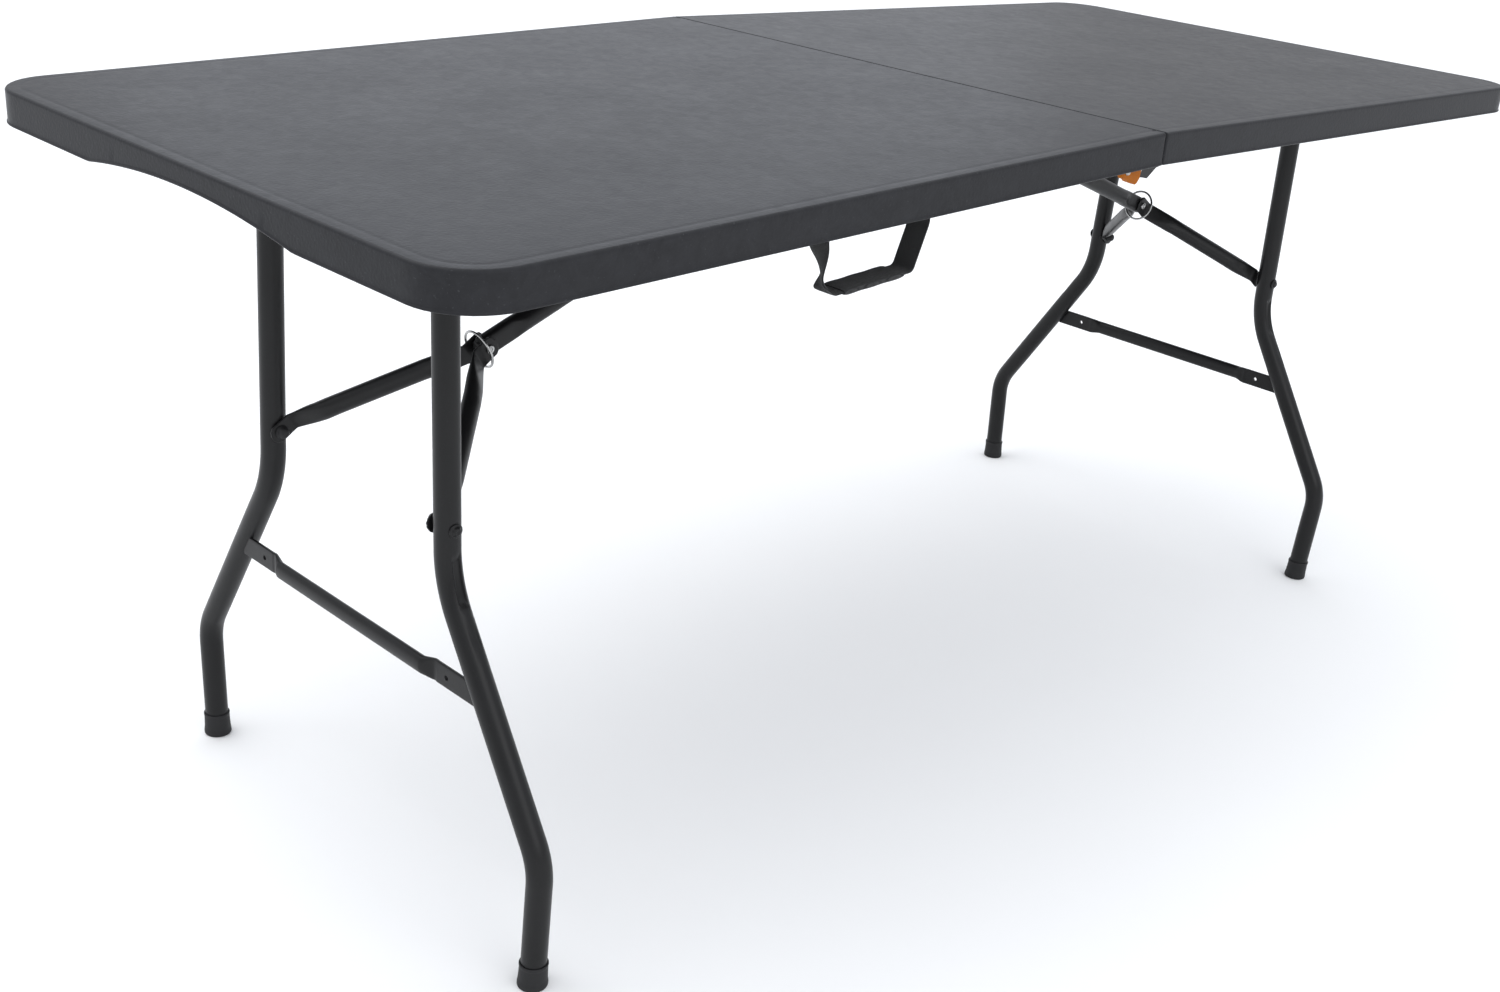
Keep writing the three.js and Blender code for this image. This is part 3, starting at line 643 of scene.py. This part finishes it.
def leg_shape(sign, count=56):
    """A bent tube, a little flattened in both bends.

    It has one crease in the hollow side of the upper bend, which faces outward, and a small one below.
    """
    corners = [(y, -drop) for y, drop in LEG_ROUTE]
    upper_bend, lower_bend = 347, 579
    rings = []
    for p, t, _ in bent_path(corners, LEG_BENDS, 18, 12):
        normal = np.array([-t[1], t[0]])  # in the bend's plane, towards larger y going down
        drop = -p[1]
        crease = 3.4 * smooth((30 - abs(drop - 344)) / 12) + 1.4 * smooth((7 - abs(drop - 398)) / 5)
        squeeze = 0.45 * math.exp(-((drop - upper_bend) / 45) ** 2)
        squeeze += 0.35 * math.exp(-((drop - lower_bend) / 35) ** 2)
        ring = []
        for angle in turns(count):
            across, outward = math.cos(angle), math.sin(angle)
            dent = crease * smooth((0.44 - abs(across + 0.12)) / 0.16) if outward > 0 else 0.0
            q = p + normal * outward * (LEG_RADIUS - squeeze - dent)
            ring.append(((LEG_RADIUS + squeeze * 0.5) * across, sign * q[0], q[1]))
        rings.append(ring)
    return loft(rings)


def weld_bead(centre, radius, lumps=26, thick=1.7):
    """A ring of overlapping weld ripples round a tube that ends on another."""
    rings = []
    for angle in turns(96):
        swell = thick * (0.8 + 0.25 * abs(math.sin(angle * lumps / 2)))
        c, s = math.cos(angle), math.sin(angle)
        rings.append([(centre[0] + (radius + swell * math.cos(a)) * c,
                       centre[1] + (radius + swell * math.cos(a)) * s,
                       centre[2] + swell * math.sin(a)) for a in turns(10)])
    return loft(rings, closed_path=True)


def stretcher_shape():
    """An oval tube pressed flat, and creased, at both ends."""
    flat_offset = STRETCHER_FLAT_X - STRETCHER_X
    pressed, tube = (flat_offset, 1.9, 11.4, 0.3), (0.0, 5.6, 9.7, 1.0)
    crease = (flat_offset - 0.6, 2.0, 11.3, 0.35)
    stations = [(-214, *pressed), (-143, *pressed), (-139, *crease), (-124, *tube),
                (124, *tube), (139, *crease), (143, *pressed), (214, *pressed)]
    marks = sorted({*np.linspace(-199, -144, 8), *np.linspace(-143, -123, 13), *np.linspace(-115, 115, 12),
                    *np.linspace(123, 143, 13), *np.linspace(144, 199, 8)})
    return formed_tube(stations, marks, lambda at, a, b: (STRETCHER_X + a, at, b - STRETCHER_DROP), 48)


def drilled(obj, holes, radius, matrix):
    """Cuts round holes along X through a piece at (x, y, z) places in millimetres."""
    reach = 12
    for x, y, z in holes:
        cutter = lathe([(0, -reach), (radius, -reach), (radius, reach), (0, reach)], 24)
        verts = [(x + yy, y + xx, z + zz) for xx, yy, zz in cutter[0]]
        mesh = bpy.data.meshes.new("cutter")
        mesh.from_pydata([tuple(c * MM for c in v) for v in verts], [], cutter[1])
        work = bmesh.new()
        work.from_mesh(mesh)
        bmesh.ops.remove_doubles(work, verts=work.verts, dist=1e-7)
        bmesh.ops.recalc_face_normals(work, faces=work.faces)
        work.to_mesh(mesh)
        work.free()
        scaled = matrix.copy()
        scaled.translation = matrix.translation * MM
        mesh.transform(scaled)
        tool = bpy.data.objects.new("cutter", mesh)
        bpy.context.scene.collection.objects.link(tool)
        mod = obj.modifiers.new("hole", "BOOLEAN")
        mod.operation, mod.solver, mod.object = "DIFFERENCE", "EXACT", tool
        graph = bpy.context.evaluated_depsgraph_get()
        made = bpy.data.meshes.new_from_object(obj.evaluated_get(graph))
        obj.modifiers.clear()
        made.name = obj.data.name
        obj.data = made
        bpy.data.objects.remove(tool)
    obj.data.shade_smooth()
    obj.data.set_sharp_from_angle(angle=math.radians(35))


def foot_profile():
    """A moulded cap: a cup round the tube with a rolled lip and a wider sole."""
    r = 14.0
    return [(0, 0), (r - 0.6, 0), (r + 0.55, 0.5), (r + 1, 1.6), (r + 0.95, 4.5), (r + 0.35, 9),
            (r + 0.1, 15), (r - 0.1, FOOT_HEIGHT - 4), (r + 0.25, FOOT_HEIGHT - 2.6),
            (r + 0.3, FOOT_HEIGHT - 1.2), (r - 0.1, FOOT_HEIGHT - 0.2), (r - 0.7, FOOT_HEIGHT),
            (LEG_RADIUS + 0.1, FOOT_HEIGHT - 0.6), (LEG_RADIUS + 0.1, 7), (0, 7)]


def foot_at(sign, pivot_height):
    """The cap, sheared along the leaning leg so that its sole stays level."""
    knee, end = np.array(LEG_ROUTE[2]), np.array(LEG_ROUTE[3])
    lean = math.atan2(knee[0] - end[0], end[1] - knee[1])
    floor_y = end[0] - (pivot_height - end[1]) * math.tan(lean)
    verts, faces = lathe(rounded(foot_profile(), 0.5, 3), 56)
    return [(x, sign * (floor_y + z + h * math.tan(lean)), h - pivot_height) for x, h, z in verts], faces


def rivet_head(radius, height, dimple):
    """A domed rivet head on a flat flange, dimpled in the middle, its axis along Y."""
    profile = [(0, -0.6), (radius, -0.6), (radius, 0.35), (radius * 0.93, 0.8), (radius * 0.72, 1.1),
               (radius * 0.62, height * 0.55), (radius * 0.5, height * 0.9), (radius * 0.34, height),
               (0, height - dimple)]
    return lathe(rounded(profile, 0.35, 3), 48)


for side in ("left", "right"):
    x, z = upright(*LEG_PIVOT)
    body = f"{side}_leg_frame"
    at = side_turn(side) @ Matrix.Translation((x, 0, z))
    end = PIVOT_TUBE_END
    stub = end + PIVOT_STUB
    tube_profile = [(0, -stub - 0.5), (6.6, -stub - 0.5), (8.6, -stub - 0.2), (8.7, -stub + 0.4),
                    (7.9, -stub + 1), (7.9, -end), (LEG_RADIUS - 0.8, -end), (LEG_RADIUS, -end + 0.9)]
    tube_profile += [(LEG_RADIUS, y) for y in np.linspace(-300, 300, 21)]
    tube_profile += [(r, -h) for r, h in reversed(tube_profile[:8])]
    piece(f"{side}_cross_tube", lathe(tube_profile, 48), STEEL, body, [f"{side}_pivot_tube"], at, sharp=50)
    bar = piece(f"{side}_cross_brace", stretcher_shape(), STEEL, body, [f"{side}_stretcher"], at, sharp=45)
    holes = [(STRETCHER_FLAT_X, y, -STRETCHER_DROP) for y in (-STRETCHER_HOLE_Y, STRETCHER_HOLE_Y)]
    drilled(bar, holes, STRETCHER_HOLE_RADIUS, at)
    for place, sign in places(side):
        piece(f"{side}_{place}_bent_leg", leg_shape(sign), STEEL, body, [f"{side}_{place}_leg"], at)
        piece(f"{side}_{place}_cap", foot_at(sign, z), BLACK, body, [f"{side}_{place}_foot"], at, sharp=50)
        top, bend = LEG_ROUTE[0], LEG_ROUTE[1]
        bead = weld_bead((0, sign * top[0], -WELD_DROP), LEG_RADIUS)
        piece(f"{side}_{place}_weld", bead, STEEL, body, (), at, sharp=80)
        share = (ARM_DROP - top[1]) / (bend[1] - top[1])
        face = top[0] + share * (bend[0] - top[0]) + LEG_RADIUS
        head = shifted(rivet_head(7.2, 3.6, 1.2), 0, sign * (face + 0.2), -ARM_DROP, flip=sign < 0)
        piece(f"{side}_{place}_brace_rivet", head, STEEL, body, [f"{side}_{place}_leg_rivet"], at, sharp=60)

# ---- braces ---------------------------------------------------------------------------------------


def brace_angles():
    """The brace's upper pivot and elbow, and how far its link and arms slope down."""
    nx, nz = upright(*LINK_PIVOT)
    px, pz = upright(*LEG_PIVOT)
    fx, fz = px, pz - ARM_DROP
    span = math.hypot(fx - nx, fz - nz)
    slope = math.atan2(nz - fz, fx - nx)
    bend = math.acos((LINK_LENGTH ** 2 + span ** 2 - ARM_LENGTH ** 2) / (2 * LINK_LENGTH * span))
    down = slope - bend
    ex, ez = nx + LINK_LENGTH * math.cos(down), nz - LINK_LENGTH * math.sin(down)
    return (nx, nz), (ex, ez), down, math.atan2(ez - fz, fx - ex)


def link_shape():
    """A tube along X, flattened where it ends at the elbow."""
    r = BRACE_RADIUS
    stations = [(-10, 0, r - 4, 5.5, 1), (-8, 0, r - 1.2, 9, 1), (-4, 0, r, r, 1), (548, 0, r, r, 1),
                (566, 0, 7, r + 0.4, 0.55), (LINK_LENGTH + 2, 0, 7, r + 0.4, 0.55),
                (LINK_LENGTH + 7, 0, 6.6, 8.5, 0.6), (LINK_LENGTH + 9.5, 0, 5.6, 4.5, 0.7)]
    marks = [*np.linspace(-10, -4, 7), *np.linspace(20, 540, 20), *np.linspace(546, 570, 13),
             *np.linspace(576, LINK_LENGTH + 2, 4), *np.linspace(LINK_LENGTH + 3, LINK_LENGTH + 9.5, 9)]
    return formed_tube(stations, marks, lambda at, a, b: (at, a, b))


def arm_shape(sign):
    """A tube slanting outward between two flattened ends."""
    r, plate = BRACE_RADIUS, 1.4
    near, far = sign * 8.8, sign * ARM_FOOT_Y
    stations = [(-10.5, near, plate * 0.7, 3.5, 0.6), (-7, near, plate, 10, 0.4),
                (-4, near, plate, 11.4, 0.35), (15, near, plate, 11.6, 0.35),
                (46, sign * 36, r - 1, r + 0.4, 0.9), (56, sign * 44.5, r, r, 1),
                (ARM_LENGTH - 50, sign * 102, r, r, 1), (ARM_LENGTH - 40, sign * 109, r - 1, r, 0.9),
                (ARM_LENGTH - 15, far, plate, 9.8, 0.35), (ARM_LENGTH + 5, far, plate, 9.8, 0.35),
                (ARM_LENGTH + 9, far, plate, 7.6, 0.45), (ARM_LENGTH + 11.5, far, plate * 0.7, 3.5, 0.6)]
    marks = [*np.linspace(-10.5, -4, 8), *np.linspace(0, 14, 4), *np.linspace(16, 58, 18),
             *np.linspace(64, ARM_LENGTH - 54, 8), *np.linspace(ARM_LENGTH - 50, ARM_LENGTH - 13, 16),
             *np.linspace(ARM_LENGTH - 8, ARM_LENGTH + 4, 4),
             *np.linspace(ARM_LENGTH + 5, ARM_LENGTH + 11.5, 8)]
    return formed_tube(stations, marks, lambda at, a, b: (at, a, b))


def ring_shape():
    """The wire ring, standing across the link just past the elbow."""
    rings = []
    for a in turns(80):
        rings.append([(LINK_LENGTH + RING_PAST + RING_WIRE * math.sin(b),
                       (RING_RADIUS + RING_WIRE * math.cos(b)) * math.cos(a),
                       (RING_RADIUS + RING_WIRE * math.cos(b)) * math.sin(a)) for b in turns(16)])
    return loft(rings, closed_path=True)


NEAR, ELBOW, LINK_DOWN, ARM_DOWN = brace_angles()
for side in ("left", "right"):
    turn = side_turn(side)
    upper = turn @ Matrix.Translation((NEAR[0], 0, NEAR[1])) @ Matrix.Rotation(LINK_DOWN, 4, "Y")
    piece(f"{side}_brace_link", link_shape(), STEEL, f"{side}_link", [f"{side}_link"], upper, sharp=50)
    head = [(0, 0.9), (1.5, 1.0), (2.3, 1.9), (3.3, 2.2), (4.2, 1.7), (4.6, 0.6), (4.7, 0), (3, 0)]
    profile = [(r, ELBOW_FACE + h) for r, h in head]
    profile += [(r, -ELBOW_FACE - h) for r, h in reversed(head)]
    elbow = shifted(lathe(rounded(profile, 0.3, 2)), LINK_LENGTH)
    piece(f"{side}_elbow_pin", elbow, BRIGHT, f"{side}_link", [f"{side}_elbow_rivet"], upper, sharp=60)
    piece(f"{side}_wire_ring", ring_shape(), BRIGHT, f"{side}_ring",
          [f"{side}_lock_ring"], upper, sharp=80)
    fork = turn @ Matrix.Translation((ELBOW[0], 0, ELBOW[1])) @ Matrix.Rotation(ARM_DOWN, 4, "Y")
    for place, sign in places(side):
        piece(f"{side}_{place}_brace_arm", arm_shape(sign), STEEL, f"{side}_arms",
              [f"{side}_{place}_arm"], fork, sharp=50)
        nut = [(0, -0.2), (7, -0.2), (7.1, 0.5), (6.8, 1.2), (5.9, 1.7), (5.8, 2.6), (5.6, 4.3), (5, 5.9),
               (3.8, 7), (2, 7.6), (0, 7.8)]
        cap = shifted(lathe(nut, 40), ARM_LENGTH, sign * (ARM_FOOT_Y - 1.6), flip=sign > 0)
        piece(f"{side}_{place}_dome_nut", cap, BLACK, f"{side}_arms", [f"{side}_{place}_cap_nut"],
              fork, sharp=50)

# ---- hinges and latches ------------------------------------------------------------------------------

for place in ("front", "back"):
    for side in ("left", "right"):
        carried(f"{place}_hinge_{side}_leaf", STEEL, 0.5)
    carried(f"{place}_hinge_pin", BRIGHT, 0.3)
    carried(f"{place}_latch_pin", BRIGHT, 0.3)
    carried(f"{place}_latch", ORANGE, 0.9)

# ---- carry handle ---------------------------------------------------------------------------------------


def strap_stations():
    """Points round the webbing loop, its width and thickness directions, and the run so far."""
    left_top = upright(-STRAP_LEFT, DECK_THICK)[1] - 2
    right_top = upright(-STRAP_RIGHT, DECK_THICK)[1] - 2
    route = [(STRAP_LEFT, left_top), (STRAP_LEFT, STRAP_SWING), *STRAP_FOOT,
             (STRAP_RIGHT, STRAP_SWING), (STRAP_RIGHT, right_top)]
    path = bent_path(route, [0, 14, 5.5, 6.5, 14, 0], 10, 3)
    out = []
    for p, t, run in path:
        turn = 0.0
        if p[0] < -480:  # only the loop's left side is twisted
            turn = 0.76 * smooth((708 - p[1]) / 32) * smooth((p[1] - 661) / 14)
        y = np.array([0.0, 1.0, 0.0])
        tangent = np.array([t[0], 0.0, t[1]])
        side = np.cross(tangent, y)
        width = y * math.cos(turn) + side * math.sin(turn)
        thick = np.cross(tangent, width)
        out.append((np.array([p[0], STRAP_Y, p[1]]), width, thick, run))
    return out


def band_shape(stations, width, thick, edge=0.35, across=8):
    """A woven band with rounded selvedges, and its UVs in millimetres."""
    rings, uvs = [], []
    for p, w, n, run in stations:
        ring = []
        for k in range(across + 1):
            s = -1 + 2 * k / across
            h = thick / 2 * (1 - edge * abs(s) ** 6)
            ring.append((p + w * s * width / 2 + n * h, (s * width / 2, run)))
        for k in range(across + 1):
            s = 1 - 2 * k / across
            h = thick / 2 * (1 - edge * abs(s) ** 6)
            ring.append((p + w * s * width / 2 - n * h, (s * width / 2, run)))
        rings.append([q for q, _ in ring])
        uvs += [uv for _, uv in ring]
    return loft(rings), uvs


stations = strap_stations()
shape, uvs = band_shape(stations, STRAP_WIDTH, STRAP_THICK)
strap = piece("handle_webbing", shape, WEBBING, None,
              ["handle_strap", "handle_left_tail", "handle_right_tail"], sharp=60, weld=0, uvs=uvs)
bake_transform(strap)


def grip_shape():
    """The loop's foot folded over on itself and sewn, fuller in the middle."""
    a, b = (np.array(corner) for corner in STRAP_FOOT)
    d = (b - a) / np.linalg.norm(b - a)
    n = np.array([-d[1], d[0]])
    rings, uvs = [], []
    steps, start, share, length = 40, 0.125, 0.755, 106
    for i in range(steps + 1):
        t = i / steps
        at = a + (b - a) * (start + share * t)
        ends = min(t, 1 - t)
        full = 3.3 - 1.1 * math.exp(-(ends / 0.035) ** 2)
        half = 13.4 + 0.35 * math.sin(t * 17)
        ring = []
        for angle in turns(32):
            c, s = math.cos(angle), math.sin(angle)
            y = math.copysign(abs(c) ** 0.35, c) * half
            seam = 0.5 * math.exp(-((abs(y) - 10.2) / 0.7) ** 2)
            h = math.copysign(abs(s) ** 0.5, s) * full - seam * np.sign(s)
            p = at + n * h
            ring.append((p[0], STRAP_Y + y, p[1]))
            uvs.append((y, length * t))
        rings.append(ring)
    return loft(rings), uvs


shape, uvs = grip_shape()
piece("handle_sleeve", shape, WEBBING, "handle", ["handle_grip"], sharp=50, weld=0, uvs=uvs)
screws = []
for x in (STRAP_LEFT, STRAP_RIGHT):
    top = upright(-x, DECK_THICK)[1] - 0.4
    for sign in (-1, 1):
        screws.append(down_facing(screw_shape(4.8), x + sign * HANDLE_SCREWS_APART, STRAP_Y, top - 2.6))
piece("handle_screws", merged(*screws), BRIGHT, "left_half")

# ---- floor, light and camera ------------------------------------------------------------------------------


def floor():
    mesh = bpy.data.meshes.new("floor")
    r = FLOOR_REACH
    mesh.from_pydata([(-r, -r, 0), (r, -r, 0), (r, r, 0), (-r, r, 0)], [], [(0, 1, 2, 3)])
    obj = bpy.data.objects.new("floor", mesh)
    f = Finish("floor", 0.9, specular=0.1)
    f.color(f.mix(f.noise(3, 2, 0.5), (0.9, 0.9, 0.9), (0.92, 0.92, 0.92)))
    mesh.materials.append(f.material)
    bpy.context.scene.collection.objects.link(obj)


def area_light(name, place, aim, size, watts, color=(1, 1, 1)):
    data = bpy.data.lights.new(name, "AREA")
    data.shape = "RECTANGLE"
    data.size, data.size_y = size
    data.energy, data.color = watts, color
    obj = bpy.data.objects.new(name, data)
    obj.location = place
    obj.rotation_euler = (Vector(aim) - Vector(place)).to_track_quat("-Z", "Y").to_euler()
    bpy.context.scene.collection.objects.link(obj)


def studio():
    """A sky that is pale at the horizon and brighter overhead, with three soft lights."""
    world = bpy.data.worlds.new("studio")
    world.use_nodes = True
    nodes, links = world.node_tree.nodes, world.node_tree.links
    coords = nodes.new("ShaderNodeTexCoord")
    split = nodes.new("ShaderNodeSeparateXYZ")
    ramp = nodes.new("ShaderNodeValToRGB")
    links.new(coords.outputs["Generated"], split.inputs["Vector"])
    links.new(split.outputs["Z"], ramp.inputs["Fac"])
    horizon, zenith = (0.6, 0.605, 0.62), (1.27, 1.3, 1.34)
    stops = ramp.color_ramp.elements
    for place, shade in ((0.12, (0.62, 0.625, 0.64)), (0.36, (0.87, 0.9, 0.97)), (0.75, zenith)):
        stops.new(place).color = (*shade, 1)
    stops[0].color = (*horizon, 1)
    stops[-1].color = (*zenith, 1)
    background = nodes["Background"]
    links.new(ramp.outputs["Color"], background.inputs["Color"])
    background.inputs["Strength"].default_value = 1.1
    bpy.context.scene.world = world
    bpy.context.scene.view_settings.view_transform = "Standard"
    area_light("key", (-1.2, 1.6, 3.4), (0, 0, 0.6), (3.2, 2.4), 38)
    area_light("fill", (-0.7, -3.8, 2.1), (0, 0, 0.6), (2.8, 2.0), 26)
    area_light("back softbox", (3.4, 4.6, 2.5), (-0.5, -0.2, 0.7), (4.2, 1.8), 13, (0.88, 0.95, 1.08))


def camera():
    """The view from the front left, looking down across the top."""
    data = bpy.data.cameras.new("camera")
    data.sensor_width, data.lens = 36.0, 41.91
    data.clip_start, data.clip_end = 0.05, 200.0
    obj = bpy.data.objects.new("camera", data)
    right = Vector((0.70197, -0.70785, 0.07865))
    down = Vector((-0.23264, -0.33226, -0.91405))
    forward = Vector((0.67314, 0.62333, -0.39791))
    turn = Matrix((right, -down, -forward)).transposed().to_4x4()
    obj.matrix_world = Matrix.Translation((-1.5981, -1.3137, 1.0989)) @ turn
    bpy.context.scene.collection.objects.link(obj)
    bpy.context.scene.camera = obj


floor()
studio()
camera()
